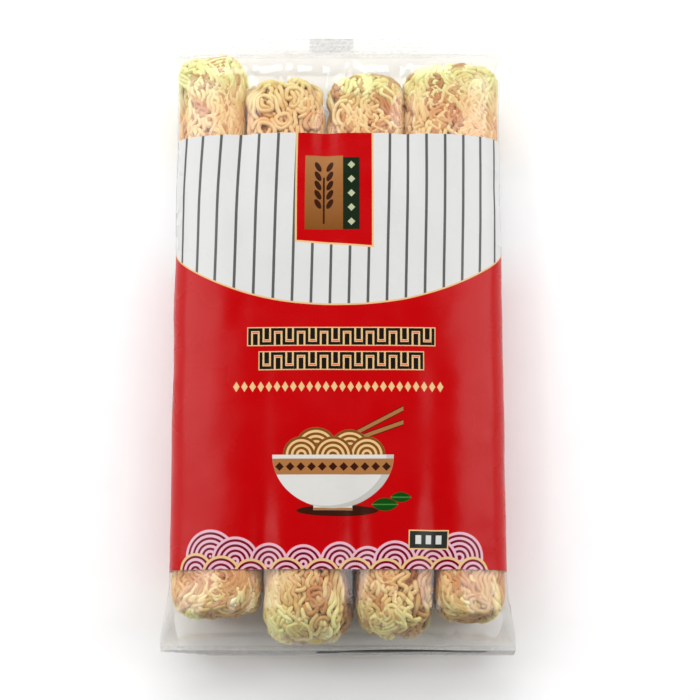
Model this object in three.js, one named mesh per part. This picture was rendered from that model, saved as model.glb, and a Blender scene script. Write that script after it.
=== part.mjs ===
// A sealed film pack of dried egg noodles, lying on its back with the printed side up.
// Units are millimetres. X runs across the pack, Y along it towards the top seal, Z up.
// The origin is on the table, under the middle of the pack.

import * as THREE from 'three';
import { LoftGeometry } from 'three/addons/geometries/LoftGeometry.js';

// Driving dimensions

const packLength = 266;
const bodyWidth = { bottom: 141, top: 138 };
const sealWidth = { bottom: 148, top: 141 };
const earReach = 36;

const spineHeight = 19;
const frontDepth = 25;
const backDepth = 20.5;
const cornerPower = 3.2;
const earPower = 2.2;

const endReach = { bottom: 17, top: 16 };
const endPower = 2.5;

const sealThickness = 1;
const topSealLength = 9;
const bottomSealStub = 1;
const bottomSealLength = 10;
const bottomSealFold = THREE.MathUtils.degToRad( 80 );
const bottomSealCut = 20;

const columnGaps = { bottom: [ - 31, 7.5, 40 ], top: [ - 40, - 5, 28 ] };
const gapDepth = { atEnds: 2.4, underPrint: 0.6 };
const gapWidth = 5;
const gapFade = { from: 30, to: 75 };

const pointsOnHalf = 32;
const stationsOnEnd = 9;
const stationsOnBody = 26;

// Places along the pack that follow from them

const sealHalf = sealThickness / 2;
const foldReach = bottomSealLength * Math.cos( bottomSealFold ) + sealHalf * Math.sin( bottomSealFold );
const bodyStart = - packLength / 2 + foldReach + bottomSealStub;
const bodyEnd = packLength / 2 - topSealLength;

const { lerp, smoothstep } = THREE.MathUtils;

// One half of a cross section of the film, from the middle of the back round one side to the
// middle of the front. The table presses the back flat, and the front dips between the columns
// of noodles.

class HalfSection extends THREE.Curve {

	constructor( station, side ) {

		super();
		this.station = station;
		this.side = side;
		this.arcLengthDivisions = 400;

	}

	getPoint( t, target = new THREE.Vector3() ) {

		const { y, z, lean, left, right, front, back, power } = this.station;
		const across = this.side * signedPower( Math.sin( Math.PI * t ), 2 / power );
		const up = - signedPower( Math.cos( Math.PI * t ), 2 / power );

		const x = across * ( this.side < 0 ? left : right );
		const depth = up * ( up < 0 ? back : front );
		const dip = up > 0 ? up * front / frontDepth * gapDip( x, y ) : 0;
		const rise = ( depth - dip ) * Math.cos( lean );

		return target.set( x, y - depth * Math.sin( lean ), Math.max( z + rise, 0 ) );

	}

}

function signedPower( value, power ) {

	return Math.sign( value ) * Math.abs( value ) ** power;

}

// How far the film sinks between two columns of noodles, at one place on the front.

function gapDip( x, y ) {

	return gapRow( x, y - bodyStart, columnGaps.bottom ) + gapRow( x, bodyEnd - y, columnGaps.top );

}

function gapRow( x, fromEnd, gaps ) {

	const fade = smoothstep( fromEnd, gapFade.from, gapFade.to );
	const depth = lerp( gapDepth.atEnds, gapDepth.underPrint, fade );
	const reach = 1 - smoothstep( fromEnd, packLength / 2 - gapFade.from, packLength / 2 );
	const dips = gaps.map( ( gap ) => Math.exp( - ( ( ( x - gap ) / gapWidth ) ** 2 ) ) );

	return depth * reach * dips.reduce( ( sum, dip ) => sum + dip, 0 );

}

// The half width of the filled body at one place along the pack. The film flares to the seals.

function bodyHalfWidth( y ) {

	const body = lerp( bodyWidth.bottom, bodyWidth.top, ( y - bodyStart ) / ( bodyEnd - bodyStart ) );
	const bottomFlare = ( sealWidth.bottom - bodyWidth.bottom ) * earFlare( y - bodyStart );
	const topFlare = ( sealWidth.top - bodyWidth.top ) * earFlare( bodyEnd - y );

	return ( body + bottomFlare + topFlare ) / 2;

}

function earFlare( fromSeal ) {

	return ( 1 - smoothstep( fromSeal, 0, earReach ) ) ** 2;

}

// A station of the filled body. Fullness goes from 0 at a seal to 1 where the pack is full deep,
// and the boxy section turns into a lens with thin ears towards the seal.

function bodyStation( y, fullness ) {

	return {
		y,
		z: spineHeight,
		lean: 0,
		left: bodyHalfWidth( y ),
		right: bodyHalfWidth( y ),
		front: lerp( sealHalf, frontDepth, fullness ),
		back: lerp( sealHalf, backDepth, fullness ),
		power: lerp( earPower, cornerPower, fullness )
	};

}

// A blunt end: the depth follows a superellipse from the seal inwards to the full body.

function endStations( sealY, inwards, reach ) {

	const stations = [];

	for ( let i = 0; i < stationsOnEnd; i ++ ) {

		const angle = i / stationsOnEnd * Math.PI / 2;
		const y = sealY + inwards * reach * ( 1 - Math.cos( angle ) ** ( 2 / endPower ) );
		stations.push( bodyStation( y, Math.sin( angle ) ** ( 2 / endPower ) ) );

	}

	return stations;

}

function bodyStations() {

	const start = bodyStart + endReach.bottom;
	const end = bodyEnd - endReach.top;
	const stations = [];

	for ( let i = 0; i <= stationsOnBody; i ++ ) {

		stations.push( bodyStation( lerp( start, end, i / stationsOnBody ), 1 ) );

	}

	return stations;

}

// A station of a flat seal. The trim takes the left corner off.

function sealStation( y, z, lean, halfWidth, trim = 0 ) {

	return {
		y,
		z,
		lean,
		left: halfWidth - trim,
		right: halfWidth,
		front: sealHalf,
		back: sealHalf,
		power: earPower
	};

}

// The bottom seal stands out a little and is then folded down. Its left corner is cut away.

function bottomSealStations() {

	const half = sealWidth.bottom / 2;
	const foldY = bodyStart - bottomSealStub;
	const edgeY = foldY - bottomSealLength * Math.cos( bottomSealFold );
	const edgeZ = spineHeight - bottomSealLength * Math.sin( bottomSealFold );

	return [
		sealStation( edgeY, edgeZ, bottomSealFold, half, bottomSealCut ),
		sealStation( lerp( edgeY, foldY, 0.8 ), lerp( edgeZ, spineHeight, 0.8 ), bottomSealFold, half ),
		sealStation( foldY, spineHeight, bottomSealFold / 2, half )
	];

}

function topSealStations() {

	const half = sealWidth.top / 2;

	return [
		sealStation( bodyEnd + topSealLength / 2, spineHeight, 0, half ),
		sealStation( bodyEnd + topSealLength, spineHeight, 0, half )
	];

}

// A whole ring of points round the pack, by way of the left side.

function ring( station ) {

	const leftHalf = new HalfSection( station, - 1 ).getSpacedPoints( pointsOnHalf );
	const rightHalf = new HalfSection( station, 1 ).getSpacedPoints( pointsOnHalf );

	return [ ...leftHalf, ...rightHalf.reverse().slice( 1, - 1 ) ];

}

function noodlePack() {

	const stations = [
		...bottomSealStations(),
		...endStations( bodyStart, 1, endReach.bottom ),
		...bodyStations(),
		...endStations( bodyEnd, - 1, endReach.top ).reverse(),
		...topSealStations()
	];

	const geometry = new LoftGeometry( stations.map( ring ), { capStart: true, capEnd: true } );
	const material = new THREE.MeshStandardMaterial( { color: 0xc81c1e, roughness: 0.3, metalness: 0 } );
	const mesh = new THREE.Mesh( geometry, material );
	mesh.name = 'noodle_pack';

	return mesh;

}

const pack = new THREE.Group();
pack.add( noodlePack() );

export default pack;
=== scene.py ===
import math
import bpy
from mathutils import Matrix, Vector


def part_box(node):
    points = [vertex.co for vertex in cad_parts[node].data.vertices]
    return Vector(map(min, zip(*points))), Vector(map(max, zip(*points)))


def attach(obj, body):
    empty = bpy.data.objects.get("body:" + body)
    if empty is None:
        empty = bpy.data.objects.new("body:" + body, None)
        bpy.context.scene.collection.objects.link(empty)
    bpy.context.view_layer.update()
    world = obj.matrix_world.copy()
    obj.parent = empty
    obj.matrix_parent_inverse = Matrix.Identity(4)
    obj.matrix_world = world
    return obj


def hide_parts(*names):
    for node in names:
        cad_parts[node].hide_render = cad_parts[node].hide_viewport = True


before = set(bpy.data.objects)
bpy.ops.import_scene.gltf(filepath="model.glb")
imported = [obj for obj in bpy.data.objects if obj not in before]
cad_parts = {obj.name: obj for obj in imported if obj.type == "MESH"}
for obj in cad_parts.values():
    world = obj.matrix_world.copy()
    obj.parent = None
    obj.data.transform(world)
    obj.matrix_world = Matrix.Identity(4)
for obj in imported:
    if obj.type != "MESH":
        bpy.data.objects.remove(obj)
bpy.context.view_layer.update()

# A sealed film pack of dried egg noodles, lying on its back with the printed side up.
# X runs across the pack, Y along it towards the top seal, and Z up. Lengths are in metres,
# and the print is drawn in millimetres on the film's own flat coordinates.

from types import SimpleNamespace

import bmesh
import bpy
import numpy as np
from mathutils import Vector, noise
from mathutils.kdtree import KDTree

MM = 0.001
PACK_LOW, PACK_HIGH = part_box("noodle_pack")

# The film's shape

PACK_LENGTH = PACK_HIGH.y - PACK_LOW.y
BODY_WIDTH = {"bottom": 141 * MM, "top": 138 * MM}
SEAL_WIDTH = {"bottom": PACK_HIGH.x - PACK_LOW.x, "top": 141 * MM}
EAR_REACH = 36 * MM

SPINE_HEIGHT = 19 * MM
FRONT_DEPTH = 25 * MM
BACK_DEPTH = 20.5 * MM
CORNER_POWER = 3.2
EAR_POWER = 2.2
END_REACH = {"bottom": 17 * MM, "top": 16 * MM}
END_POWER = 2.5

TOP_SEAL_LENGTH = 9 * MM
BOTTOM_SEAL_STUB = 1 * MM
BOTTOM_SEAL_LENGTH = 10 * MM
BOTTOM_SEAL_FOLD = math.radians(80)
BOTTOM_SEAL_CUT = 20 * MM
SEAL_HALF = 0.5 * MM
FILM_HALF = 0.14 * MM
CRIMP_PITCH = 1.7 * MM
CRIMP_DEPTH = 0.28 * MM

COLUMN_GAPS = {"bottom": (-31 * MM, 7.5 * MM, 40 * MM), "top": (-40 * MM, -5 * MM, 28 * MM)}
GAP_DEPTH = {"at_ends": 2.4 * MM, "under_print": 0.6 * MM}
GAP_WIDTH = 5 * MM
GAP_FADE = (30 * MM, 75 * MM)
BACK_CLEARANCE = 0.35 * MM

FOLD_REACH = (
    BOTTOM_SEAL_LENGTH * math.cos(BOTTOM_SEAL_FOLD) + SEAL_HALF * math.sin(BOTTOM_SEAL_FOLD)
)
BODY_START = PACK_LOW.y + FOLD_REACH + BOTTOM_SEAL_STUB
BODY_END = PACK_HIGH.y - TOP_SEAL_LENGTH

# The printed band, measured up from the free edge of the bottom seal

BAND_START = PACK_LOW.y + 34.2 * MM
BAND_END = PACK_LOW.y + 217.1 * MM

# The parts of the film, and where each but the first begins along the flat web

PART_NAMES = (
    "crimped_seal_bottom", "clear_film_bottom", "printed_film_band", "clear_film_top",
    "crimped_seal_top",
)
PART_STARTS = tuple(place - PACK_LOW.y for place in (BODY_START, BAND_START, BAND_END, BODY_END))

POINTS_ON_HALF = 160
POINTS_TO_MEASURE_BY = 600
ROWS_ON_SEAL = {"bottom": 34, "top": 30}
FOLDS_AT_END = 34
TINY = 0.001 * MM
SEED = 7


# -------------------------------- small helpers


def smoothstep(value, low, high):
    share = np.clip((np.asarray(value, float) - low) / (high - low), 0, 1)
    return share * share * (3 - 2 * share)


def mix(low, high, share):
    return low + (high - low) * share


def signed_power(value, power):
    return np.sign(value) * np.abs(value) ** power


def srgb(red, green, blue):
    """A shader colour from the 0 to 255 values that a screen shows."""
    return tuple(linear(value / 255) for value in (red, green, blue)) + (1.0,)


def linear(value):
    return value / 12.92 if value <= 0.04045 else ((value + 0.055) / 1.055) ** 2.4


# -------------------------------- camera, light and floor


CAMERA_HEIGHT_ANGLE = math.radians(81)
CAMERA_DISTANCE = 0.9
CAMERA_TARGET = Vector((5 * MM, -5 * MM, 22 * MM))
CAMERA_LENS = 109.0
SENSOR_WIDTH = 36


def make_camera():
    camera = bpy.data.objects.new("camera", bpy.data.cameras.new("camera"))
    camera.data.lens = CAMERA_LENS
    camera.data.sensor_width = SENSOR_WIDTH
    away = Vector((0, -math.cos(CAMERA_HEIGHT_ANGLE), math.sin(CAMERA_HEIGHT_ANGLE)))
    camera.location = CAMERA_TARGET + away * CAMERA_DISTANCE
    camera.rotation_euler = (math.pi / 2 - CAMERA_HEIGHT_ANGLE, 0, 0)
    bpy.context.scene.collection.objects.link(camera)
    bpy.context.scene.camera = camera


def make_softbox(name, place, size, power, target=(0, 0, 0.02)):
    light = bpy.data.lights.new(name, "AREA")
    light.shape = "RECTANGLE"
    light.size, light.size_y = size
    light.energy = power
    lamp = bpy.data.objects.new(name, light)
    lamp.location = place
    lamp.rotation_euler = (Vector(target) - Vector(place)).to_track_quat("-Z", "Y").to_euler()
    bpy.context.scene.collection.objects.link(lamp)


def make_studio_walls():
    """White walls round the table, under a dimmer ceiling."""
    world = bpy.data.worlds.new("studio")
    world.use_nodes = True
    tree = Tree(world.node_tree)
    background = world.node_tree.nodes["Background"]
    background.inputs["Color"].default_value = (1, 1, 1, 1)
    up = tree.split(tree.node("ShaderNodeTexCoord").outputs["Generated"])[2]
    tree.feed(background.inputs["Strength"], tree.remap(up, 0.0, 0.9, 0.85, 0.1))
    bpy.context.scene.world = world


def make_light():
    make_studio_walls()
    make_softbox("key", (-0.1, 0.95, 0.95), (1.3, 0.6), 13)
    make_softbox("left_box", (-0.95, 0.2, 0.7), (0.5, 1.2), 7.6)
    make_softbox("right_box", (0.95, 0.2, 0.7), (0.5, 1.2), 7.6)
    bpy.context.scene.view_settings.view_transform = "Standard"


def make_floor():
    bm = bmesh.new()
    bmesh.ops.create_grid(bm, x_segments=8, y_segments=8, size=2.5)
    floor = finish_piece("floor", bm, floor_material())


# -------------------------------- the film's shape


def fullness(y):
    """From 0 at a seal to 1 where the pack is full deep: the blunt ends are superellipses."""
    bottom = np.clip(1 - (y - BODY_START) / END_REACH["bottom"], 0, 1)
    top = np.clip(1 - (BODY_END - y) / END_REACH["top"], 0, 1)
    return np.clip(1 - np.maximum(bottom, top) ** END_POWER, 0, 1) ** (1 / END_POWER)


def ear_flare(from_seal):
    return (1 - smoothstep(from_seal, 0, EAR_REACH)) ** 2


def body_half_width(y):
    along = (y - BODY_START) / (BODY_END - BODY_START)
    width = mix(BODY_WIDTH["bottom"], BODY_WIDTH["top"], along)
    width += (SEAL_WIDTH["bottom"] - BODY_WIDTH["bottom"]) * ear_flare(y - BODY_START)
    width += (SEAL_WIDTH["top"] - BODY_WIDTH["top"]) * ear_flare(BODY_END - y)
    return width / 2


def gap_dip(x, y):
    """How far the film sinks between two columns of noodles, at one place on the front."""
    bottom = gap_row(x, y - BODY_START, COLUMN_GAPS["bottom"])
    return bottom + gap_row(x, BODY_END - y, COLUMN_GAPS["top"])


def gap_row(x, from_end, gaps):
    depth = mix(GAP_DEPTH["at_ends"], GAP_DEPTH["under_print"], smoothstep(from_end, *GAP_FADE))
    reach = 1 - smoothstep(from_end, PACK_LENGTH / 2 - GAP_FADE[0], PACK_LENGTH / 2)
    return depth * reach * sum(np.exp(-(((x - gap) / GAP_WIDTH) ** 2)) for gap in gaps)


def body_station(y):
    full = float(fullness(y))
    half = float(body_half_width(y))
    return SimpleNamespace(
        y=y, z=SPINE_HEIGHT, lean=0.0, left=half, right=half,
        front=mix(FILM_HALF, FRONT_DEPTH, full), back=mix(FILM_HALF, BACK_DEPTH, full),
        power=mix(EAR_POWER, CORNER_POWER, full),
    )


def seal_station(y, z, lean, half, trim=0.0):
    return SimpleNamespace(
        y=y, z=z, lean=lean, left=half - trim, right=half,
        front=FILM_HALF, back=FILM_HALF, power=EAR_POWER,
    )


def half_ring(station, side, count):
    """Points at even steps of the film, from the middle of the front to the middle of the back."""
    turn = np.linspace(0, math.pi, POINTS_TO_MEASURE_BY)
    up = signed_power(np.cos(turn), 2 / station.power)
    x = side * np.sin(turn) ** (2 / station.power) * (station.left if side < 0 else station.right)
    depth = up * np.where(up < 0, station.back, station.front)
    dip = np.maximum(up, 0) * station.front / FRONT_DEPTH * gap_dip(x, station.y)
    y = station.y - depth * math.sin(station.lean)
    z = np.maximum(station.z + (depth - dip) * math.cos(station.lean), BACK_CLEARANCE)
    around = np.concatenate([[0], np.cumsum(np.hypot(np.diff(x), np.diff(z)))])
    at = np.linspace(0, around[-1], count + 1)
    points = np.stack([np.interp(at, around, value) for value in (x, y, z)], axis=1)
    return points, side * at


def crimp_rise(out):
    return CRIMP_DEPTH * math.sin(2 * math.pi * out / CRIMP_PITCH)


def bottom_seal_stations():
    """From the free edge up to the body: the seal is folded down on a small bend."""
    half = SEAL_WIDTH["bottom"] / 2
    bend_start, bend_end = BOTTOM_SEAL_STUB - 0.8 * MM, BOTTOM_SEAL_STUB + 1.6 * MM
    length = BOTTOM_SEAL_STUB + BOTTOM_SEAL_LENGTH
    steps = ROWS_ON_SEAL["bottom"]
    y, z = BODY_START, SPINE_HEIGHT
    stations = []
    for i in range(1, steps + 1):
        out = length * i / steps
        lean = BOTTOM_SEAL_FOLD * float(smoothstep(out, bend_start, bend_end))
        y -= math.cos(lean) * length / steps
        z -= math.sin(lean) * length / steps
        crimp = crimp_rise(out) * float(smoothstep(out, 1 * MM, 2 * MM))
        trim = BOTTOM_SEAL_CUT * float(np.clip((out - 3 * MM) / (length - 3 * MM), 0, 1))
        place = (y - crimp * math.sin(lean), z + crimp * math.cos(lean))
        stations.append(seal_station(*place, lean, half, trim))
    return stations[::-1]


def top_seal_stations():
    half = SEAL_WIDTH["top"] / 2
    steps = ROWS_ON_SEAL["top"]
    stations = []
    for i in range(1, steps + 1):
        out = TOP_SEAL_LENGTH * i / steps
        stations.append(seal_station(BODY_END + out, SPINE_HEIGHT + crimp_rise(out), 0.0, half))
    return stations


def body_places():
    """Places along the body: by even angles round the blunt ends, and by even steps between."""
    bend = np.linspace(0, math.pi / 2, 27)[:-1]
    curve = 1 - np.cos(bend) ** (2 / END_POWER)
    bottom = BODY_START + END_REACH["bottom"] * curve
    top = BODY_END - END_REACH["top"] * curve[::-1]
    first, last = BODY_START + END_REACH["bottom"], BODY_END - END_REACH["top"]
    clear = np.linspace(first, BAND_START, 7)[:-1]
    band = np.linspace(BAND_START, BAND_END, 170)
    upper = np.linspace(BAND_END, last, 12)[1:]
    return np.concatenate([bottom, clear, band, upper, top])


# -------------------------------- the film's folds


def film_folds(places, ups):
    """How far each point of the film stands out along its own normal.
    Soft pulls run from both seals into the body, and slack creases lie over the noodles' ends."""
    draw = np.random.RandomState(SEED)
    x, y = places[:, 0], places[:, 1]
    height = np.zeros(len(places))
    for end, towards in ((BODY_START, 1), (BODY_END, -1)):
        inwards = (y - end) * towards
        for _ in range(FOLDS_AT_END):
            root = draw.uniform(-0.07, 0.07)
            slope = draw.uniform(-0.45, 0.45)
            length = draw.uniform(14, 42) * MM
            width = draw.uniform(0.9, 2.4) * MM
            lift = draw.uniform(0.25, 0.85) * MM
            side = draw.choice((-1, 1), p=(0.35, 0.65))
            across = x - root - slope * inwards
            fade = smoothstep(inwards, -2 * MM, 3 * MM) * (1 - smoothstep(inwards, length * 0.4, length))
            height += lift * fade * np.exp(-((across / width) ** 2)) * (ups * side > 0)
    return height


def soft_swell(point):
    """The slow rise and fall of film that lies on uneven noodles."""
    slow, quick = noise.noise(Vector(point) / (24 * MM)), noise.noise(Vector(point) / (9 * MM))
    return (0.12 + 0.4 * slow + 0.12 * quick) * MM


# -------------------------------- making pieces


def finish_piece(name, bm, material):
    mesh = bpy.data.meshes.new(name)
    for face in bm.faces:
        face.smooth = True
    bm.to_mesh(mesh)
    bm.free()
    mesh.materials.append(material)
    piece = bpy.data.objects.new(name, mesh)
    bpy.context.scene.collection.objects.link(piece)
    return piece


def film_web():
    """The whole tube of film: a flat web, wrapped round the pack and joined along the back."""
    stations = bottom_seal_stations() + [body_station(y) for y in body_places()] + top_seal_stations()
    rows, columns = len(stations), 2 * POINTS_ON_HALF + 1
    shape = np.zeros((rows, columns, 3))
    around = np.zeros((rows, columns))
    for row, station in enumerate(stations):
        left, left_at = half_ring(station, -1, POINTS_ON_HALF)
        right, right_at = half_ring(station, 1, POINTS_ON_HALF)
        shape[row] = np.concatenate([left[::-1], right[1:]])
        around[row] = np.concatenate([left_at[::-1], right_at[1:]])
    along = shape[:, POINTS_ON_HALF, 1] - PACK_LOW.y
    seal_rows = len(bottom_seal_stations())
    seal_length = BOTTOM_SEAL_STUB + BOTTOM_SEAL_LENGTH
    along[:seal_rows] = along[seal_rows] - seal_length * np.linspace(1, 0, seal_rows, endpoint=False)

    bm = bmesh.new()
    bmesh.ops.create_grid(bm, x_segments=columns - 1, y_segments=rows - 1, size=1)
    flat = np.array([vert.co[:2] for vert in bm.verts])
    column = np.rint((flat[:, 0] + 1) / 2 * (columns - 1)).astype(int)
    row = np.rint((flat[:, 1] + 1) / 2 * (rows - 1)).astype(int)
    web = bm.loops.layers.uv.new("web_mm")
    for face in bm.faces:
        for loop in face.loops:
            at = loop.vert.index
            loop[web].uv = (around[row[at], column[at]] / MM, along[row[at]] / MM)
    for vert, place in zip(bm.verts, shape[row, column]):
        vert.co = place
    starts = np.searchsorted(along, np.array(PART_STARTS) - TINY)
    for face in bm.faces:
        lowest = min(row[vert.index] for vert in face.verts)
        face.material_index = int(np.searchsorted(starts, lowest, side="right"))
    bmesh.ops.remove_doubles(bm, verts=bm.verts, dist=0.01 * MM)
    bmesh.ops.recalc_face_normals(bm, faces=bm.faces)
    crease_film(bm)
    return bm


def crease_film(bm):
    bm.normal_update()
    places = np.array([vert.co for vert in bm.verts])
    normals = np.array([vert.normal for vert in bm.verts])
    folds = film_folds(places, normals[:, 2])
    full = fullness(places[:, 1])
    for vert, normal, fold, share in zip(bm.verts, normals, folds, full):
        rise = fold * min(1.0, share * 3) + soft_swell(vert.co) * share
        moved = vert.co + Vector(normal) * float(rise)
        moved.z = max(moved.z, BACK_CLEARANCE)
        vert.co = moved


def film_piece(name, web, part, material):
    bm = web.copy()
    others = [face for face in bm.faces if face.material_index != part]
    bmesh.ops.delete(bm, geom=others, context="FACES")
    for face in bm.faces:
        face.material_index = 0
    hold(finish_piece(name, bm, material))


def hold(piece):
    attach(piece, "root")
    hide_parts("noodle_pack")


def make_film():
    web = film_web()
    clear, welded, printed = clear_film_material(), welded_film_material(), printed_film_material()
    materials = (welded, clear, printed, clear, welded)
    for part, (name, material) in enumerate(zip(PART_NAMES, materials)):
        film_piece(name, web, part, material)
    web.free()
    make_back_seam(welded)


SEAM_HALF_WIDTH = 6 * MM
SEAM_SHORTFALL = 18 * MM
SEAM_HEIGHT = 0.2 * MM
SEAM_RIDGE = 0.06 * MM


def make_back_seam(material):
    """The lap along the middle of the back, where the web's two edges are welded together."""
    bm = bmesh.new()
    bmesh.ops.create_grid(bm, x_segments=8, y_segments=120, size=1)
    middle, reach = (BODY_START + BODY_END) / 2, (BODY_END - BODY_START) / 2 - SEAM_SHORTFALL
    web = bm.loops.layers.uv.new("web_mm")
    for vert in bm.verts:
        height = SEAM_HEIGHT + SEAM_RIDGE * math.sin(vert.co.x * 14)
        vert.co = (vert.co.x * SEAM_HALF_WIDTH, middle + vert.co.y * reach, height)
    for face in bm.faces:
        for loop in face.loops:
            loop[web].uv = (loop.vert.co.x / MM, (loop.vert.co.y - PACK_LOW.y) / MM)
        face.normal_flip()
    hold(finish_piece("back_seam", bm, material))


# -------------------------------- blocks of noodles


STRAND_RADIUS = 1.05 * MM
STRAND_STEP = 1.4 * MM
STRAND_PITCH = 2.3 * MM
WAVE_LENGTH = 8 * MM
WAVE_DEPTH = 2.0 * MM
WEAVE_DEPTH = 1.8 * MM
FILM_CLEARANCE = STRAND_RADIUS + 0.5 * MM
BLOCK_POWER = 3.0
BLOCK_END_REACH = 17 * MM
BLOCK_SPREAD = {"bottom": -0.4 * MM, "top": 0.8 * MM}
BLOCK_MIDDLE_HEIGHT = 22 * MM
BLOCK_HALF_HEIGHT = 20.8 * MM
BLOCK_EDGE = 69 * MM
MIDDLE_GAP = 1.5 * MM
HIDDEN_REACH = 9 * MM

# How many skeins lie on each face of a block, how deep in millimetres, and how they wave

SKEINS = {"over_end": 6, "front": 6, "back": 4}
SKEINS_ON_SIDES = {"outer": 9, "inner": 3}
SKEIN_DEPTHS = (0.0, 0.6, 1.8, 3.0)
CURLS = 7
SLOW_WAVE_LENGTH = 31 * MM
WEAVE_LENGTH = 17 * MM
SIDES_OF_STRAND = 6
# Painted shade: how much a strand's tone drops for each millimetre it lies below the surface
PAINTED_SHADE_PER_MM = 0.23

# How strands that run through each other are moved apart

SETTLING_ROUNDS = 7
SETTLED_DISTANCE = 1.9 * STRAND_RADIUS
PUSH_SHARE = 0.4
LONGEST_PUSH = 0.7 * MM

# The closely packed inside

CORE_DEPTH = 5.0 * MM
CORE_CUTS = 22
CORE_RIDGE = 0.25 * MM


def place_in_block(block, x, y, z, depth=0.0):
    """Shares of a block's half sizes across, up and round its ends, and how far out a point lies
    on the block's rounded outline: 1 is on it."""
    across = (x - block.x) / (block.half_width - depth)
    up = (z - block.z) / (block.half_height - depth)
    straight = block.half_length - depth - BLOCK_END_REACH
    over = np.maximum(np.abs(y - block.y) - straight, 0) / BLOCK_END_REACH
    total = np.abs(across) ** BLOCK_POWER + np.abs(up) ** BLOCK_POWER + over**BLOCK_POWER
    return across, up, over, total ** (1 / BLOCK_POWER)


def press_into_block(block, x, y, z, depth=0.0):
    """Moves points that lie outside a block onto its rounded outline, then inside the film."""
    across, up, over, reach = place_in_block(block, x, y, z, depth)
    shrink = 1 / np.maximum(reach, 1)
    x = block.x + across * shrink * (block.half_width - depth)
    z = block.z + up * shrink * (block.half_height - depth)
    straight = block.half_length - depth - BLOCK_END_REACH
    pulled = np.sign(y - block.y) * (straight + over * shrink * BLOCK_END_REACH)
    y = np.where(over > 0, block.y + pulled, y)
    return press_into_film(x, y, z, depth)


def press_into_film(x, y, z, depth):
    """Moves points that lie too near the film, or outside it, inwards."""
    full = fullness(y)
    power = mix(EAR_POWER, CORNER_POWER, full)
    inset = FILM_CLEARANCE + depth
    rise = z - SPINE_HEIGHT
    front, back = mix(FILM_HALF, FRONT_DEPTH, full), mix(FILM_HALF, BACK_DEPTH, full)
    half_height = np.maximum(np.where(rise > 0, front, back) - inset, 0.5 * MM)
    half_width = body_half_width(y) - inset
    reach = (np.abs(x / half_width) ** power + np.abs(rise / half_height) ** power) ** (1 / power)
    shrink = 1 / np.maximum(reach, 1)
    x, rise = x * shrink, rise * shrink
    under_film = half_height * (1 - np.minimum(np.abs(x / half_width), 1) ** power) ** (1 / power)
    rise = np.minimum(rise, under_film - gap_dip(x, y) * full)
    return x, y, np.maximum(SPINE_HEIGHT + rise, inset)


def below_surface(block, points):
    """How far points lie inside the block's outline or the film's, whichever is the nearer."""
    x, y, z = points.T
    in_block = place_in_block(block, x, y, z)[3]
    film_depth = np.where(z > SPINE_HEIGHT, FRONT_DEPTH, BACK_DEPTH) * fullness(y)
    rise = np.abs(z - SPINE_HEIGHT) / np.maximum(film_depth - FILM_CLEARANCE, 0.5 * MM)
    across = np.abs(x) / (body_half_width(y) - FILM_CLEARANCE)
    in_film = (across**CORNER_POWER + rise**CORNER_POWER) ** (1 / CORNER_POWER)
    return block.half_height * np.clip(1 - np.maximum(in_block, in_film), 0, 1)


def turn_path(leg, radius, tip):
    """A strand that runs to the block's open end, turns round in a half circle and runs back.
    Gives the distance along it, the place beside the turn's middle and the place inwards."""
    half_turn = math.pi * radius
    length = 2 * leg + half_turn
    at = np.linspace(0, length, max(int(length / STRAND_STEP), 8))
    angle = np.clip((at - leg) / half_turn, 0, 1) * math.pi
    inwards = tip + radius - radius * np.sin(angle)
    inwards = inwards + np.maximum(leg - at, 0) + np.maximum(at - leg - half_turn, 0)
    return at, -radius * np.cos(angle), inwards


def skein_paths(block, draw, kind, share):
    """A few strands that lie side by side, wave together and turn at the block's end.
    The turn lies flat on the front, back or side, or folds over the end from front to back.
    share places the skein along that face, from -1 to 1."""
    width, height = block.half_width, block.half_height
    share += draw.uniform(-0.12, 0.12)
    tip = draw.uniform(0, 6) * MM
    radius = draw.uniform(1.4, 5.5) * MM
    lean = draw.uniform(-0.25, 0.25)
    if kind == "front":
        middle = (share * width, height)
    elif kind == "back":
        middle = (share * width, -height)
    elif kind == "side":
        facing = draw.choice((-1, 1, block.outer_side or -1, block.outer_side or 1))
        middle = (facing * width, share * height)
        lean += math.pi / 2
    else:
        middle = (share * width, draw.uniform(-4, 4) * MM)
        lean += math.pi / 2
        radius, tip = height - draw.uniform(0, 9) * MM, draw.uniform(0, 1.5) * MM
    beside, outward = (math.cos(lean), math.sin(lean)), (-math.sin(lean), math.cos(lean))

    depth = draw.choice(SKEIN_DEPTHS) * MM
    slope = draw.uniform(-0.3, 0.3)
    wave = WAVE_LENGTH * draw.uniform(0.8, 1.3)
    swing = WAVE_DEPTH * draw.uniform(0.6, 1.4)
    phases = draw.uniform(0, 2 * math.pi, 4)
    paths = []
    for strand in range(draw.randint(3, 6)):
        own = draw.uniform(-0.4, 0.4)
        folded = kind == "over_end"
        grown = radius if folded else radius + strand * STRAND_PITCH
        leg = max(block.shown + HIDDEN_REACH - tip - radius, 4 * MM)
        at, side, inwards = turn_path(leg, grown, tip)
        inwards = inwards - (0 if folded else strand * STRAND_PITCH * 0.6)
        turn = 2 * math.pi * (at - at[-1] / 2)
        ripple = swing * np.sin(turn / wave + phases[0] + own)
        ripple = ripple + 1.3 * MM * np.sin(turn / SLOW_WAVE_LENGTH + phases[1] + own)
        quiver = 0.5 * MM * np.sin(turn / (wave * 1.37) + phases[2] + own)
        side = side + (quiver if folded else ripple)
        out = strand * STRAND_PITCH + ripple if folded else quiver
        weave = np.sin(turn / WEAVE_LENGTH + phases[3] + 0.5 * strand)
        weave = depth + WEAVE_DEPTH * (0.5 + 0.5 * weave)
        x = block.x + middle[0] + side * beside[0] + out * outward[0] + slope * inwards
        z = block.z + middle[1] + side * beside[1] + out * outward[1]
        y = block.tip - block.towards * inwards
        paths.append(np.stack(press_into_block(block, x, y, z, weave), axis=1))
    return paths


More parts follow.
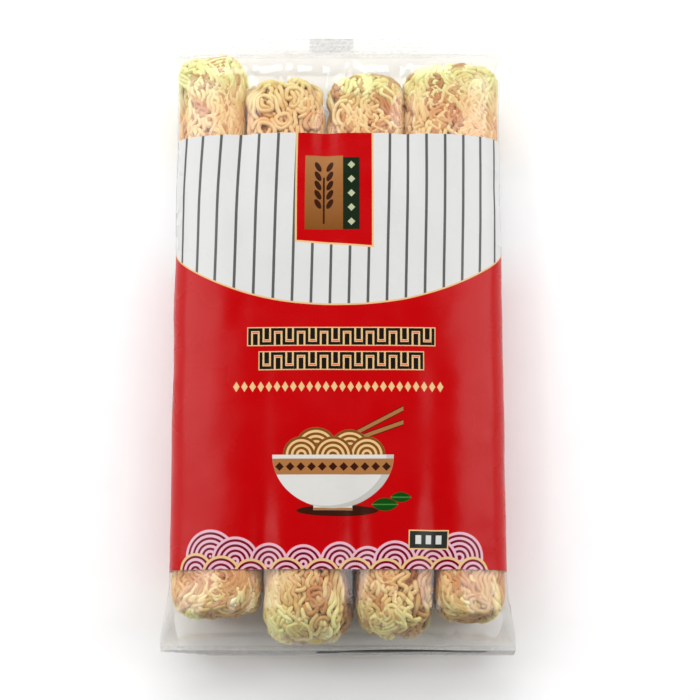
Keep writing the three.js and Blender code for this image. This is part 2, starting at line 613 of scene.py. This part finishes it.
def curl_paths(block, draw):
    """One strand that winds round a few times on the front of a block."""
    radius = draw.uniform(2.8, 5.0) * MM
    turns = draw.uniform(1.1, 2.4)
    count = int(turns * 2 * math.pi * radius / STRAND_STEP) + 6
    share = np.linspace(0, 1, count)
    angle = draw.uniform(0, 2 * math.pi) + draw.choice((-1, 1)) * share * turns * 2 * math.pi
    grown = radius * (1 + 0.3 * np.sin(angle * 0.4 + draw.uniform(0, 6)))
    x = block.x + draw.uniform(-0.85, 0.85) * block.half_width + grown * np.cos(angle)
    inwards = draw.uniform(3 * MM, block.shown) + draw.uniform(-5, 5) * MM * share + grown * np.sin(angle)
    y = block.tip - block.towards * inwards
    z = np.full(count, block.z + block.half_height)
    weave = WEAVE_DEPTH * (0.5 + 0.5 * np.sin(angle * 0.7 + draw.uniform(0, 6)))
    return [np.stack(press_into_block(block, x, y, z, weave), axis=1)]


def even_steps(path):
    """The same path with its points at even steps."""
    along = np.concatenate([[0], np.cumsum(np.linalg.norm(np.diff(path, axis=0), axis=1))])
    at = np.linspace(0, along[-1], max(int(along[-1] / STRAND_STEP), 4))
    return np.stack([np.interp(at, along, path[:, axis]) for axis in range(3)], axis=1)


def ease(values, owner, share):
    """Draws each point of a strand towards the middle of its two neighbours."""
    inner = np.zeros(len(values), bool)
    inner[1:-1] = (owner[:-2] == owner[1:-1]) & (owner[2:] == owner[1:-1])
    at = np.nonzero(inner)[0]
    eased = values.copy()
    eased[at] += share * ((values[at - 1] + values[at + 1]) / 2 - values[at])
    return eased


def near_pairs(points, owner):
    """Pairs of points that lie too near each other, and aren't neighbours on one strand."""
    tree = KDTree(len(points))
    for index, point in enumerate(points):
        tree.insert(point, index)
    tree.balance()
    pairs = [
        (index, near)
        for index, point in enumerate(points)
        for _, near, _ in tree.find_range(point, SETTLED_DISTANCE)
        if near > index
    ]
    first, second = np.array(pairs).T
    crossing = (owner[first] != owner[second]) | (second - first > 4)
    return first[crossing], second[crossing]


def settle(block, paths):
    """Eases the strands' bends, and moves strands apart where they would run through each other,
    so that they cross over and under."""
    lengths = [len(path) for path in paths]
    owner = np.repeat(np.arange(len(paths)), lengths)
    points = ease(np.concatenate(paths), owner, 0.4)
    for _ in range(SETTLING_ROUNDS):
        first, second = near_pairs(points, owner)
        between = points[first] - points[second] + TINY
        gap = np.linalg.norm(between, axis=1, keepdims=True)
        shift = between / gap * (SETTLED_DISTANCE - gap) * PUSH_SHARE
        push = np.zeros_like(points)
        np.add.at(push, first, shift)
        np.add.at(push, second, -shift)
        push = ease(ease(push, owner, 0.5), owner, 0.5)
        step = np.linalg.norm(push, axis=1, keepdims=True)
        points = points + push * np.minimum(1, LONGEST_PUSH / np.maximum(step, TINY))
        points = ease(points, owner, 0.05)
        points = np.stack(press_into_block(block, *points.T), axis=1)
    return np.split(points, np.cumsum(lengths)[:-1])


def strand_mesh(name, paths):
    """Round strands along the paths, as one mesh: the end caps come first, from the last path to
    the first, and then the rings of each path."""
    curve = bpy.data.curves.new(name, "CURVE")
    curve.dimensions = "3D"
    curve.bevel_depth = STRAND_RADIUS
    curve.bevel_resolution = 1
    curve.use_fill_caps = True
    for path in paths:
        spline = curve.splines.new("POLY")
        spline.points.add(len(path) - 1)
        spline.points.foreach_set("co", np.insert(path, 3, 1.0, axis=1).ravel())
    holder = bpy.data.objects.new(name, curve)
    mesh = bpy.data.meshes.new_from_object(holder)
    bpy.data.objects.remove(holder)
    bpy.data.curves.remove(curve)
    return mesh


def block_core(block):
    """The closely packed inside of a block, under its outer strands."""
    bm = bmesh.new()
    bmesh.ops.create_cube(bm, size=2)
    bmesh.ops.subdivide_edges(bm, edges=bm.edges, cuts=CORE_CUTS, use_grid_fill=True)
    places = np.array([vert.co for vert in bm.verts])
    x = block.x + places[:, 0] * block.half_width * 1.2
    y = block.y + places[:, 1] * block.half_length * 1.2
    z = block.z + places[:, 2] * block.half_height * 1.2
    x, y, z = press_into_block(block, x, y, z, CORE_DEPTH)
    for vert, place in zip(bm.verts, np.stack([x, y, z], axis=1)):
        vert.co = place
    bm.normal_update()
    for vert in bm.verts:
        ripple = math.sin(vert.co.x / (0.6 * MM) + 2 * noise.noise(vert.co / (7 * MM)))
        vert.co += vert.normal * ripple * CORE_RIDGE
    return bm


def noodle_block(name, block, seed, material):
    """One block: skeins over every face, each with a random tone of its own, and painted shade that
    darkens strands the deeper they lie.
    """
    draw = np.random.RandomState(seed)
    on_sides = SKEINS_ON_SIDES["outer" if block.outer_side else "inner"]
    skeins = []
    for kind, count in {**SKEINS, "side": on_sides}.items():
        skeins += [skein_paths(block, draw, kind, share) for share in np.linspace(-0.85, 0.85, count)]
    skeins += [curl_paths(block, draw) for _ in range(CURLS)]
    paths = settle(block, [even_steps(path) for skein in skeins for path in skein])
    shades = np.repeat(draw.uniform(0.0, 0.95, len(skeins)), [len(skein) for skein in skeins])
    shades += draw.uniform(-0.2, 0.2, len(paths))
    # Painted shade: each point's tone drops with its depth below the block's or the film's surface
    sunk = [below_surface(block, path) / MM for path in paths]
    along = [shade - PAINTED_SHADE_PER_MM * depth for shade, depth in zip(shades, sunk)]
    caps = [one[[-1, 0]] for one in reversed(along)]
    tones_and_painted_shade = np.repeat(np.concatenate(caps + along), SIDES_OF_STRAND)

    strands = strand_mesh(name, paths)
    bm = block_core(block)
    core_count = len(bm.verts)
    bm.from_mesh(strands)
    bpy.data.meshes.remove(strands)
    # The core's vertices keep a tone of 0, so the core is painted dark brown as shade for the packed
    # inside
    tone_and_painted_shade = bm.verts.layers.float.new("tone_and_painted_shade")
    bm.verts.ensure_lookup_table()
    for vert, value in zip(bm.verts[core_count:], tones_and_painted_shade):
        vert[tone_and_painted_shade] = value
    bmesh.ops.remove_doubles(bm, verts=bm.verts[core_count:], dist=TINY)
    bmesh.ops.recalc_face_normals(bm, faces=bm.faces)
    hold(finish_piece(name, bm, material))


def make_noodles():
    """Four columns of blocks, each of one block from the bottom end and one from the top end.
    Each block stops short of its seal by a length of its own."""
    material = noodle_material()
    rows = {
        "bottom": (-1, BODY_START, (11.5, 1.5, 4, 10.5), BAND_START),
        "top": (1, BODY_END, (3, 12.8, 11.5, 6.5), BAND_END),
    }
    for row, (towards, end, shortfalls, band) in rows.items():
        edges = (-BLOCK_EDGE,) + COLUMN_GAPS[row] + (BLOCK_EDGE,)
        for column, shortfall in enumerate(shortfalls):
            left, right = edges[column], edges[column + 1]
            tip = end - towards * (shortfall * MM - 0.5 * MM)
            inner = towards * MIDDLE_GAP
            block = SimpleNamespace(
                x=(left + right) / 2, half_width=(right - left) / 2 + BLOCK_SPREAD[row],
                y=(tip + inner) / 2, half_length=abs(tip - inner) / 2,
                z=BLOCK_MIDDLE_HEIGHT, half_height=BLOCK_HALF_HEIGHT,
                tip=tip, towards=towards, shown=abs(tip - band),
                outer_side={0: -1, 3: 1}.get(column, 0),
            )
            seed = SEED + 10 * column + (100 if row == "top" else 0)
            noodle_block(f"noodle_block_{row}_{column + 1}", block, seed, material)


# -------------------------------- node trees


class Tree:
    """Short calls for building one node tree."""

    def __init__(self, tree):
        self.tree = tree

    def node(self, kind, **settings):
        node = self.tree.nodes.new(kind)
        for name, value in settings.items():
            setattr(node, name, value)
        return node

    def feed(self, socket, value):
        if isinstance(value, bpy.types.NodeSocket):
            self.tree.links.new(value, socket)
        else:
            socket.default_value = value

    def math(self, operation, *values):
        node = self.node("ShaderNodeMath", operation=operation)
        for socket, value in zip(node.inputs, values):
            self.feed(socket, value)
        return node.outputs[0]

    def minus(self, one, other):
        return self.math("SUBTRACT", one, other)

    def times(self, one, other):
        return self.math("MULTIPLY", one, other)

    def apart(self, one, other):
        return self.math("ABSOLUTE", self.minus(one, other))

    def length(self, across, up):
        return self.math("SQRT", self.math("ADD", self.times(across, across), self.times(up, up)))

    def paint(self, below, above, mask):
        node = self.node("ShaderNodeMix", data_type="RGBA")
        self.feed(node.inputs[0], mask)
        self.feed(node.inputs[6], below)
        self.feed(node.inputs[7], above)
        return node.outputs[2]

    def lowest(self, *values):
        result = values[0]
        for value in values[1:]:
            result = self.math("MINIMUM", result, value)
        return result

    def edge(self, distance):
        """A mask that is 1 where the distance is positive, with a soft edge of fine print."""
        share = self.math("MULTIPLY_ADD", distance, 1 / PRINT_EDGE, 0.5)
        return self.math("MINIMUM", self.math("MAXIMUM", share, 0.0), 1.0)

    def noise(self, vector, scale, detail=2.0):
        node = self.node("ShaderNodeTexNoise")
        self.feed(node.inputs["Vector"], vector)
        node.inputs["Scale"].default_value = scale
        node.inputs["Detail"].default_value = detail
        return node.outputs["Fac"]

    def remap(self, value, low, high, to_low, to_high):
        node = self.node("ShaderNodeMapRange")
        for socket, given in zip(node.inputs, (value, low, high, to_low, to_high)):
            self.feed(socket, given)
        return node.outputs[0]

    def split(self, vector):
        node = self.node("ShaderNodeSeparateXYZ")
        self.feed(node.inputs[0], vector)
        return node.outputs["X"], node.outputs["Y"], node.outputs["Z"]

    def bump(self, height, strength, distance):
        node = self.node("ShaderNodeBump")
        node.inputs["Strength"].default_value = strength
        node.inputs["Distance"].default_value = distance
        self.feed(node.inputs["Height"], height)
        return node.outputs["Normal"]

    def object_place(self):
        return self.node("ShaderNodeTexCoord").outputs["Object"]

    def use(self, group, **values):
        node = self.node("ShaderNodeGroup", node_tree=group)
        for name, value in values.items():
            self.feed(node.inputs[name.replace("_", " ")], value)
        return node.outputs


def new_group(name, inputs, outputs):
    group = bpy.data.node_groups.new(name, "ShaderNodeTree")
    for label in inputs:
        group.interface.new_socket(label, in_out="INPUT", socket_type="NodeSocketFloat")
    for label in outputs:
        group.interface.new_socket(label, in_out="OUTPUT", socket_type="NodeSocketFloat")
    tree = Tree(group)
    given = tree.node("NodeGroupInput").outputs
    result = tree.node("NodeGroupOutput").inputs
    return group, tree, given, result


def new_material(name):
    material = bpy.data.materials.new(name)
    material.use_nodes = True
    tree = Tree(material.node_tree)
    shader = material.node_tree.nodes["Principled BSDF"]
    return material, tree, shader


# -------------------------------- shapes of the print


PRINT_EDGE = 0.16
WAVE_RING_PITCH = 2.1
WAVE_LINE_SHARE = 0.52


def bar_group():
    """A printed bar with straight edges."""
    sides = ("Left", "Right", "Bottom", "Top")
    group, tree, given, result = new_group("printed_bar", ("Across", "Up") + sides, ("Mask", "Inside"))
    inside = tree.lowest(
        tree.minus(given["Across"], given["Left"]),
        tree.minus(given["Right"], given["Across"]),
        tree.minus(given["Up"], given["Bottom"]),
        tree.minus(given["Top"], given["Up"]),
    )
    tree.feed(result["Inside"], inside)
    tree.feed(result["Mask"], tree.edge(inside))
    return group


def disc_group():
    """A printed oval."""
    labels = ("Across", "Up", "Middle Across", "Middle Up", "Half Width", "Half Height")
    group, tree, given, result = new_group("printed_disc", labels, ("Mask",))
    across = tree.minus(given["Across"], given["Middle Across"])
    across = tree.math("DIVIDE", across, given["Half Width"])
    up = tree.math("DIVIDE", tree.minus(given["Up"], given["Middle Up"]), given["Half Height"])
    smaller = tree.math("MINIMUM", given["Half Width"], given["Half Height"])
    inside = tree.times(tree.minus(1.0, tree.length(across, up)), smaller)
    tree.feed(result["Mask"], tree.edge(inside))
    return group


def wave_group():
    """One fan of the wave pattern: rings round a middle low down."""
    labels = ("Across", "Up", "Middle Across", "Middle Up", "Radius")
    group, tree, given, result = new_group("printed_wave", labels, ("Cover", "Line", "Rim"))
    across = tree.minus(given["Across"], given["Middle Across"])
    up = tree.minus(given["Up"], given["Middle Up"])
    inside = tree.minus(given["Radius"], tree.length(across, up))
    ring = tree.math("FRACT", tree.math("DIVIDE", inside, WAVE_RING_PITCH))
    line = tree.times(tree.minus(WAVE_LINE_SHARE, ring), WAVE_RING_PITCH)
    tree.feed(result["Cover"], tree.edge(inside))
    tree.feed(result["Line"], tree.edge(line))
    tree.feed(result["Rim"], tree.edge(tree.minus(WAVE_RING_PITCH * WAVE_LINE_SHARE, inside)))
    return group


def shape_group(name, make):
    """A node group that is made when it is first asked for."""
    return bpy.data.node_groups.get(name) or make()


def web_place(tree):
    """The film's flat web, and the millimetres across it and up it."""
    web = tree.node("ShaderNodeUVMap", uv_map="web_mm").outputs["UV"]
    return web, *tree.split(web)[:2]


class Page:
    """The printed side of the film: places on it in millimetres, and its colour so far."""

    def __init__(self, tree, across, up):
        self.tree, self.across, self.up = tree, across, up
        self.colour = None

    def lay(self, ink, mask):
        self.colour = self.tree.paint(self.colour, ink, mask)

    def bar(self, left, right, bottom, top, grow=0.0, give="Mask"):
        return self.tree.use(
            shape_group("printed_bar", bar_group), Across=self.across, Up=self.up,
            Left=left - grow, Right=right + grow, Bottom=bottom - grow, Top=top + grow,
        )[give]

    def disc(self, x, y, half_width, half_height):
        return self.tree.use(
            shape_group("printed_disc", disc_group), Across=self.across, Up=self.up,
            Middle_Across=x, Middle_Up=y, Half_Width=half_width, Half_Height=half_height,
        )["Mask"]

    def fan(self, x, y, radius):
        return self.tree.use(
            shape_group("printed_wave", wave_group), Across=self.across, Up=self.up,
            Middle_Across=x, Middle_Up=y, Radius=radius,
        )

    def lozenge(self, beside, above, reach):
        """A lozenge, from the distances beside and above its middle."""
        return self.tree.edge(self.tree.minus(reach, self.tree.math("ADD", beside, above)))


# -------------------------------- the printed band


RED = srgb(176, 0, 4)
PALE = srgb(202, 202, 201)
STRIPE = srgb(84, 84, 82)
CREAM = srgb(214, 178, 124)
GOLD = srgb(158, 106, 60)
DARK_GOLD = srgb(118, 70, 26)
BROWN = srgb(52, 20, 8)
BLACK = srgb(22, 16, 14)
CHARCOAL = srgb(40, 42, 38)
GREEN = srgb(18, 34, 18)
PALE_GREEN = srgb(172, 176, 142)
LEAF = srgb(10, 66, 14)
LEAF_RIB = srgb(60, 120, 50)
WHITE = srgb(202, 201, 196)
BOWL_SHADE = srgb(178, 176, 170)
WAVE_LINE = srgb(214, 168, 182)
WAVE_GROUND = srgb(108, 4, 30)

# Places and sizes of the print, in millimetres

HALF_ROUND = 164.5
STRIPE_PITCH = 7.91
STRIPE_WIDTH = 1.15
STRIPE_MIDDLE = 6.18
STRIPE_LEAN = 0.023
FIELD_TOP = 143.5
FIELD_RISE = 18.5
FIELD_REACH = 67.0
FIELD_POWER = 2.3
BORDER_LEFT = -37.3
BORDER_STEP = 4.76
BORDER_STROKE = 1.25
BORDER_HEIGHT = 7.1
BORDER_ROWS = (126.7, 116.6)
BOWL_RIM = 81.0
BOWL_MIDDLE = -2.0
WHEAT_STEM = -6.0


def printed_film_material():
    """The band's print: pale with dark lines above a red field that ends in a hollow curve."""
    material, tree, shader = new_material("printed_film")
    _, across, up = web_place(tree)
    page = Page(tree, across, up)
    stripes(page)
    red_field(page)
    battlement_rows(page)
    lozenge_row(page)
    bowl_picture(page)
    wave_border(page)
    weight_box(page)
    tag(page)

    tree.feed(shader.inputs["Base Color"], page.colour)
    shader.inputs["Specular IOR Level"].default_value = 0.15
    coordinates = tree.object_place()
    cloud = tree.noise(coordinates, 45, 3.0)
    tree.feed(shader.inputs["Roughness"], tree.remap(cloud, 0.3, 0.7, 0.22, 0.34))
    tree.feed(shader.inputs["Normal"], tree.bump(tree.noise(coordinates, 260, 3.0), 0.25, 0.2 * MM))
    return material


def stripes(page):
    """Dark upright lines on a pale ground. They lean a little to the left on their way down."""
    tree = page.tree
    lean = tree.times(tree.minus(217.0, page.up), STRIPE_LEAN)
    place = tree.math("ADD", tree.minus(page.across, STRIPE_MIDDLE), lean)
    spread = tree.math("MAXIMUM", tree.minus(-25.0, page.across), 0.0)
    place = tree.math("MULTIPLY_ADD", spread, 0.043, place)
    from_line = tree.math("PINGPONG", place, STRIPE_PITCH / 2)
    page.colour = PALE
    page.lay(STRIPE, tree.edge(tree.minus(STRIPE_WIDTH / 2, from_line)))


def wrapped(page):
    """The distance across from the nearer middle line, of the front or of the back."""
    return page.tree.math("WRAP", page.across, HALF_ROUND / 2, -HALF_ROUND / 2)


def red_field(page):
    """The red field's top edge dips to the middle of the pack and has a thin cream line along it."""
    tree = page.tree
    share = tree.math("DIVIDE", tree.math("ABSOLUTE", wrapped(page)), FIELD_REACH)
    edge = tree.math("MULTIPLY_ADD", tree.math("POWER", share, FIELD_POWER), FIELD_RISE, FIELD_TOP)
    below = tree.minus(edge, page.up)
    page.lay(CREAM, tree.edge(tree.math("ADD", below, 0.7)))
    page.lay(RED, tree.edge(below))


def battlement_rows(page):
    """Two rows of a battlement border, in black on a cream edge."""
    tree = page.tree
    upper, lower = BORDER_ROWS
    rise = tree.math("WRAP", tree.minus(page.up, lower), upper - lower - 1, -1.0)
    beside = tree.math("WRAP", tree.minus(page.across, BORDER_LEFT), 2 * BORDER_STEP, 0.0)
    line = battlement(Page(tree, beside, rise))
    for left, cells, bottom in ((BORDER_LEFT, 16, upper), (BORDER_LEFT + BORDER_STEP, 14, lower)):
        right = left + cells * BORDER_STEP + BORDER_STROKE
        for grow, ink in ((0.4, CREAM), (0.0, BLACK)):
            window = page.bar(left - grow, right + grow, bottom - 1, bottom + BORDER_HEIGHT + 1)
            page.lay(ink, tree.lowest(window, tree.edge(tree.math("ADD", line, grow))))


def battlement(cell):
    """The distance inside a line that steps up and down, or inside the block in each hollow."""
    step, stroke, height, gap = BORDER_STEP, BORDER_STROKE, BORDER_HEIGHT, 0.75
    bars = (
        (0, stroke, 0, height),
        (0, step + stroke, height - stroke, height),
        (step, step + stroke, 0, height),
        (step, 2 * step + stroke, 0, stroke),
        (2 * step, 2 * step + stroke, 0, height),
        (stroke + gap, step - gap, 0, height - stroke - 1.1),
        (step + stroke + gap, 2 * step - gap, stroke + 1.1, height),
    )
    inside = cell.bar(*bars[0], give="Inside")
    for bar in bars[1:]:
        inside = cell.tree.math("MAXIMUM", inside, cell.bar(*bar, give="Inside"))
    return inside


def lozenge_row(page):
    """A row of 26 small cream lozenges."""
    tree = page.tree
    left, right, bottom, top = -43.8, 44.2, 107.0, 111.6
    beside = tree.math("PINGPONG", tree.minus(page.across, left), (right - left) / 26 / 2)
    above = tree.apart(page.up, (bottom + top) / 2)
    lozenge = tree.minus(beside, tree.math("MULTIPLY_ADD", above, 0.62, 0.35))
    page.lay(CREAM, tree.lowest(page.bar(left, right, bottom, top), tree.edge(lozenge)))


def bowl_picture(page):
    """A white bowl of noodles with a gold band, two chopsticks, two leaves and a shadow."""
    tree = page.tree
    above_rim = page.bar(-40, 40, BOWL_RIM, 120)
    page.lay(BROWN, page.disc(0, 58.0, 17, 2.3))
    for lean, start in ((0.52, -4.0), (0.36, -2.0)):
        along = tree.minus(page.across, start)
        line = tree.apart(page.up, tree.math("MULTIPLY_ADD", along, lean, BOWL_RIM + 3))
        for thick, ink in ((1.25, BROWN), (0.85, GOLD)):
            stick = tree.edge(tree.minus(thick, line))
            page.lay(ink, tree.lowest(stick, page.bar(start, 27, BOWL_RIM, 120)))
    for x, y, radius in ((-9, 2.5, 8.2), (5, 2, 7.8), (-15, 0, 6.9), (12, 0, 6.9), (-2, -0.5, 7.5)):
        swirl = page.fan(x, BOWL_RIM + y, radius + 0.6)
        strands = tree.paint(CREAM, DARK_GOLD, swirl["Line"])
        page.lay(strands, tree.lowest(swirl["Cover"], above_rim))
    bowl(page)
    for x, y, reach in ((19.5, 60.5, 7.0), (26.0, 63.5, 5.5)):
        upper, lower = (page.disc(x, y + side * reach * 0.62, reach, reach) for side in (1, -1))
        leaf = tree.lowest(upper, lower)
        page.lay(LEAF, leaf)
        page.lay(LEAF_RIB, tree.lowest(leaf, page.bar(x - reach, x + reach, y - 0.25, y + 0.25)))


def bowl(page):
    tree = page.tree
    body = tree.lowest(page.disc(BOWL_MIDDLE, BOWL_RIM, 25, 22), page.bar(-40, 40, 50, BOWL_RIM))
    page.lay(WHITE, page.bar(-10, 6, 58.2, 62))
    page.lay(GOLD, page.bar(-10, 6, 58.2, 59.2))
    page.lay(WHITE, body)
    lit = page.disc(-5, BOWL_RIM, 25, 21)
    page.lay(BOWL_SHADE, tree.lowest(body, tree.minus(1.0, lit)))
    page.lay(GOLD, tree.lowest(body, page.bar(-40, 40, BOWL_RIM - 8.2, BOWL_RIM - 1.6)))
    beside = tree.math("PINGPONG", tree.minus(page.across, BOWL_MIDDLE), 2.2)
    above = tree.apart(page.up, BOWL_RIM - 4.9)
    page.lay(BROWN, tree.lowest(body, page.lozenge(beside, above, 1.8)))


def wave_border(page):
    """Rings of waves along the foot of the red field, high at both ends and low between."""
    tree = page.tree
    back_row = (
        (-53, 39.5, 11), (-42.5, 37.5, 10), (51, 39, 10.5), (40, 37, 10.5),
        (-28.5, 36.8, 8.2), (-14, 36.2, 8), (1, 37.2, 8.2), (12.5, 36, 7.6), (24, 36.8, 9),
    )
    front_row = (
        (-59.5, 33.5, 7.5), (-48.5, 31.5, 8.3), (-36, 31, 7.6), (-21, 31.2, 7.8), (-6.5, 31, 7.6),
        (7.5, 31.3, 7.8), (20.5, 31, 7.6), (34, 31.4, 8.2), (46, 31.6, 7.8), (57, 32.5, 7),
    )
    near = Page(tree, wrapped(page), page.up)
    for fans, rim_ink in ((back_row, WAVE_LINE), (front_row, CREAM)):
        for place in fans:
            fan = near.fan(*place)
            inked = tree.paint(WAVE_GROUND, WAVE_LINE, fan["Line"])
            inked = tree.paint(inked, rim_ink, tree.lowest(fan["Rim"], fan["Line"]))
            page.lay(inked, fan["Cover"])


def weight_box(page):
    """A dark box in a pale frame, with three plain pips where a pack states its weight."""
    left, right, bottom, top = 29.9, 45.8, 42.7, 49.7
    page.lay(CREAM, page.bar(left, right, bottom, top, 0.5))
    page.lay(CHARCOAL, page.bar(left, right, bottom, top))
    for x in (33.4, 37.8, 42.2):
        page.lay(WHITE, page.bar(x - 1.2, x + 1.2, bottom + 1.7, top - 1.7))


def tag(page):
    """A red tag at the band's top edge, with a gold panel and a dark green bar."""
    tree = page.tree
    slanted = Page(tree, page.across, tree.math("MULTIPLY_ADD", page.across, 0.07, page.up))
    page.lay(CREAM, slanted.bar(-18.1, 15.0, 169.0, 230.0))
    page.lay(RED, slanted.bar(-17.3, 14.2, 169.8, 230.0))
    shade = tree.remap(page.up, 175.6, 207.3, 0.0, 1.0)
    page.lay(tree.paint(DARK_GOLD, GOLD, shade), page.bar(-14, 2.1, 175.6, 207.3))
    page.lay(GREEN, page.bar(2.1, 9.1, 175.6, 206.6))
    for step in range(5):
        beside, above = tree.apart(page.across, 5.6), tree.apart(page.up, 179 + step * 6.1)
        page.lay(PALE_GREEN, page.lozenge(beside, above, 1.6))
    wheat_ear(page)


def wheat_ear(page):
    """An ear of wheat in dark brown: a stem with a pair of grains at each step."""
    tree = page.tree
    page.lay(BROWN, page.bar(WHEAT_STEM - 0.4, WHEAT_STEM + 0.4, 178, 198))
    from_stem = tree.minus(page.across, WHEAT_STEM)
    for step in range(5):
        for side in (-1, 1):
            leaning = Page(tree, page.across, tree.math("MULTIPLY_ADD", from_stem, -side * 0.8, page.up))
            page.lay(BROWN, leaning.disc(WHEAT_STEM + side * 2.5, 184.5 + step * 4.0, 1.5, 1.7))


# -------------------------------- the floor, the film and the dough


def floor_material():
    material, tree, shader = new_material("pale_floor")
    coordinates = tree.object_place()
    fine = tree.noise(coordinates, 60)
    tree.feed(shader.inputs["Base Color"], tree.paint(srgb(246, 246, 246), srgb(252, 252, 252), fine))
    shader.inputs["Roughness"].default_value = 0.9
    return material


def clear_film_material():
    """Clear film: what lies behind shows through, with a gloss that grows at a slant."""
    material, tree, shader = new_material("clear_film")
    output = material.node_tree.nodes["Material Output"]
    coordinates = tree.object_place()
    normal = tree.bump(tree.noise(coordinates, 220, 3.0), 0.3, 0.25 * MM)
    shader.inputs["Base Color"].default_value = srgb(244, 244, 242)
    shader.inputs["Roughness"].default_value = 0.35
    tree.feed(shader.inputs["Normal"], normal)
    through = tree.node("ShaderNodeBsdfTransparent")
    through.inputs["Color"].default_value = (0.985, 0.985, 0.98, 1)
    haze = tree.node("ShaderNodeMixShader")
    haze.inputs[0].default_value = 0.035
    tree.feed(haze.inputs[1], through.outputs[0])
    tree.feed(haze.inputs[2], shader.outputs[0])
    shine = tree.node("ShaderNodeBsdfGlossy")
    shine.inputs["Roughness"].default_value = 0.13
    tree.feed(shine.inputs["Normal"], normal)
    fresnel = tree.node("ShaderNodeFresnel")
    fresnel.inputs["IOR"].default_value = 1.55
    tree.feed(fresnel.inputs["Normal"], normal)
    lamp_ray = tree.node("ShaderNodeLightPath").outputs["Is Shadow Ray"]
    seen = tree.minus(1.0, tree.times(lamp_ray, 0.8))
    glance = tree.math("MINIMUM", fresnel.outputs[0], 0.3)
    film = tree.node("ShaderNodeMixShader")
    tree.feed(film.inputs[0], tree.times(glance, seen))
    tree.feed(film.inputs[1], haze.outputs[0])
    tree.feed(film.inputs[2], shine.outputs[0])
    tree.feed(output.inputs["Surface"], film.outputs[0])
    return material


# The painted shadow along the bottom seal, a dark bowed line, and the grey patch of painted shadow on the
# top seal, in millimetres

SHADOW_LINE_LEFT, SHADOW_LINE_RIGHT = -9.0, 62.0
SHADOW_LINE_TOP = 0.9
SHADOW_LINE_MIDDLE = 32.0
SHADOW_LINE_REACH = 40.0
SHADOW_LINE_BOW = 2.0
PAINTED_SHADOW_PATCH = (-12.5, 6.5, 259.4, 270.0)


def welded_film_material():
    """Two layers of film welded in fine ridges: hazier than the film, with a dark line of painted shadow
    along part of the bottom seal and a grey patch of painted shadow in the middle of the top one."""
    material, tree, shader = new_material("welded_film")
    web, across, up = web_place(tree)
    page = Page(tree, across, up)
    # A dark bowed line of painted shadow along the free edge of the bottom seal, thicker at its left end
    off_middle = tree.math("DIVIDE", tree.minus(across, SHADOW_LINE_MIDDLE), SHADOW_LINE_REACH)
    bow = tree.times(tree.times(off_middle, off_middle), SHADOW_LINE_BOW)
    from_line = tree.apart(up, tree.minus(SHADOW_LINE_TOP, bow))
    thick = tree.remap(across, SHADOW_LINE_LEFT, SHADOW_LINE_RIGHT, 1.8, 0.8)
    line = tree.edge(tree.minus(thick, from_line))
    line = tree.lowest(line, page.bar(SHADOW_LINE_LEFT, SHADOW_LINE_RIGHT, -9.0, 9.0))
    grain = tree.noise(web, 0.8, 3.0)
    pale = tree.paint(srgb(196, 196, 194), srgb(224, 224, 222), grain)
    # A grey patch of painted shadow in the middle of the top seal, a little less see-through
    patch = page.bar(*PAINTED_SHADOW_PATCH)
    pale = tree.paint(pale, srgb(150, 150, 150), patch)
    tree.feed(shader.inputs["Base Color"], tree.paint(pale, srgb(30, 30, 30), line))
    haze = tree.remap(grain, 0.3, 0.7, 0.2, 0.34)
    haze = tree.math("MULTIPLY_ADD", patch, 0.14, haze)
    tree.feed(shader.inputs["Alpha"], tree.math("MAXIMUM", haze, tree.times(line, 0.92)))
    shader.inputs["Roughness"].default_value = 0.24
    return material


def noodle_material():
    """Dried egg dough: pale straw at the tips, warmer towards the print, browner where painted shade
    falls in the hollows and on the core, with pale patches of painted highlight and a fine bumpy grain."""
    material, tree, shader = new_material("dried_noodle")
    coordinates = tree.object_place()
    tone_and_painted_shade = tree.node("ShaderNodeAttribute", attribute_name="tone_and_painted_shade").outputs["Fac"]
    patch = tree.noise(coordinates, 120, 3.0)
    along = tree.math("ABSOLUTE", tree.math("ADD", tree.split(coordinates)[1], 5 * MM))
    cloud = tree.math("MULTIPLY_ADD", tree.noise(coordinates, 42, 2.0), 24 * MM, along)
    tip = tree.remap(cloud, 110 * MM, 127 * MM, 0.0, 1.0)
    # The darkest colour, taken by the darkest random strands and by painted shade in hollows and on the
    # core
    deep = tree.paint(srgb(190, 114, 56), srgb(178, 132, 66), tip)
    straw = tree.paint(srgb(224, 172, 108), srgb(216, 200, 122), tip)
    pale = tree.paint(srgb(232, 200, 140), srgb(228, 230, 160), tip)
    colour = tree.paint(deep, straw, tree.remap(tone_and_painted_shade, -0.05, 0.5, 0.0, 1.0))
    colour = tree.paint(colour, pale, tree.remap(tone_and_painted_shade, 0.45, 1.0, 0.0, 1.0))
    # Pale patches of painted highlight on the dough
    colour = tree.paint(colour, srgb(250, 244, 214), tree.remap(patch, 0.45, 0.75, 0.0, 0.22))
    tree.feed(shader.inputs["Base Color"], colour)
    tree.feed(shader.inputs["Roughness"], tree.remap(patch, 0.3, 0.7, 0.5, 0.7))
    tree.feed(shader.inputs["Normal"], tree.bump(tree.noise(coordinates, 900, 4.0), 0.35, 0.12 * MM))
    return material


# -------------------------------- the scene


make_camera()
make_light()
make_floor()
make_film()
make_noodles()
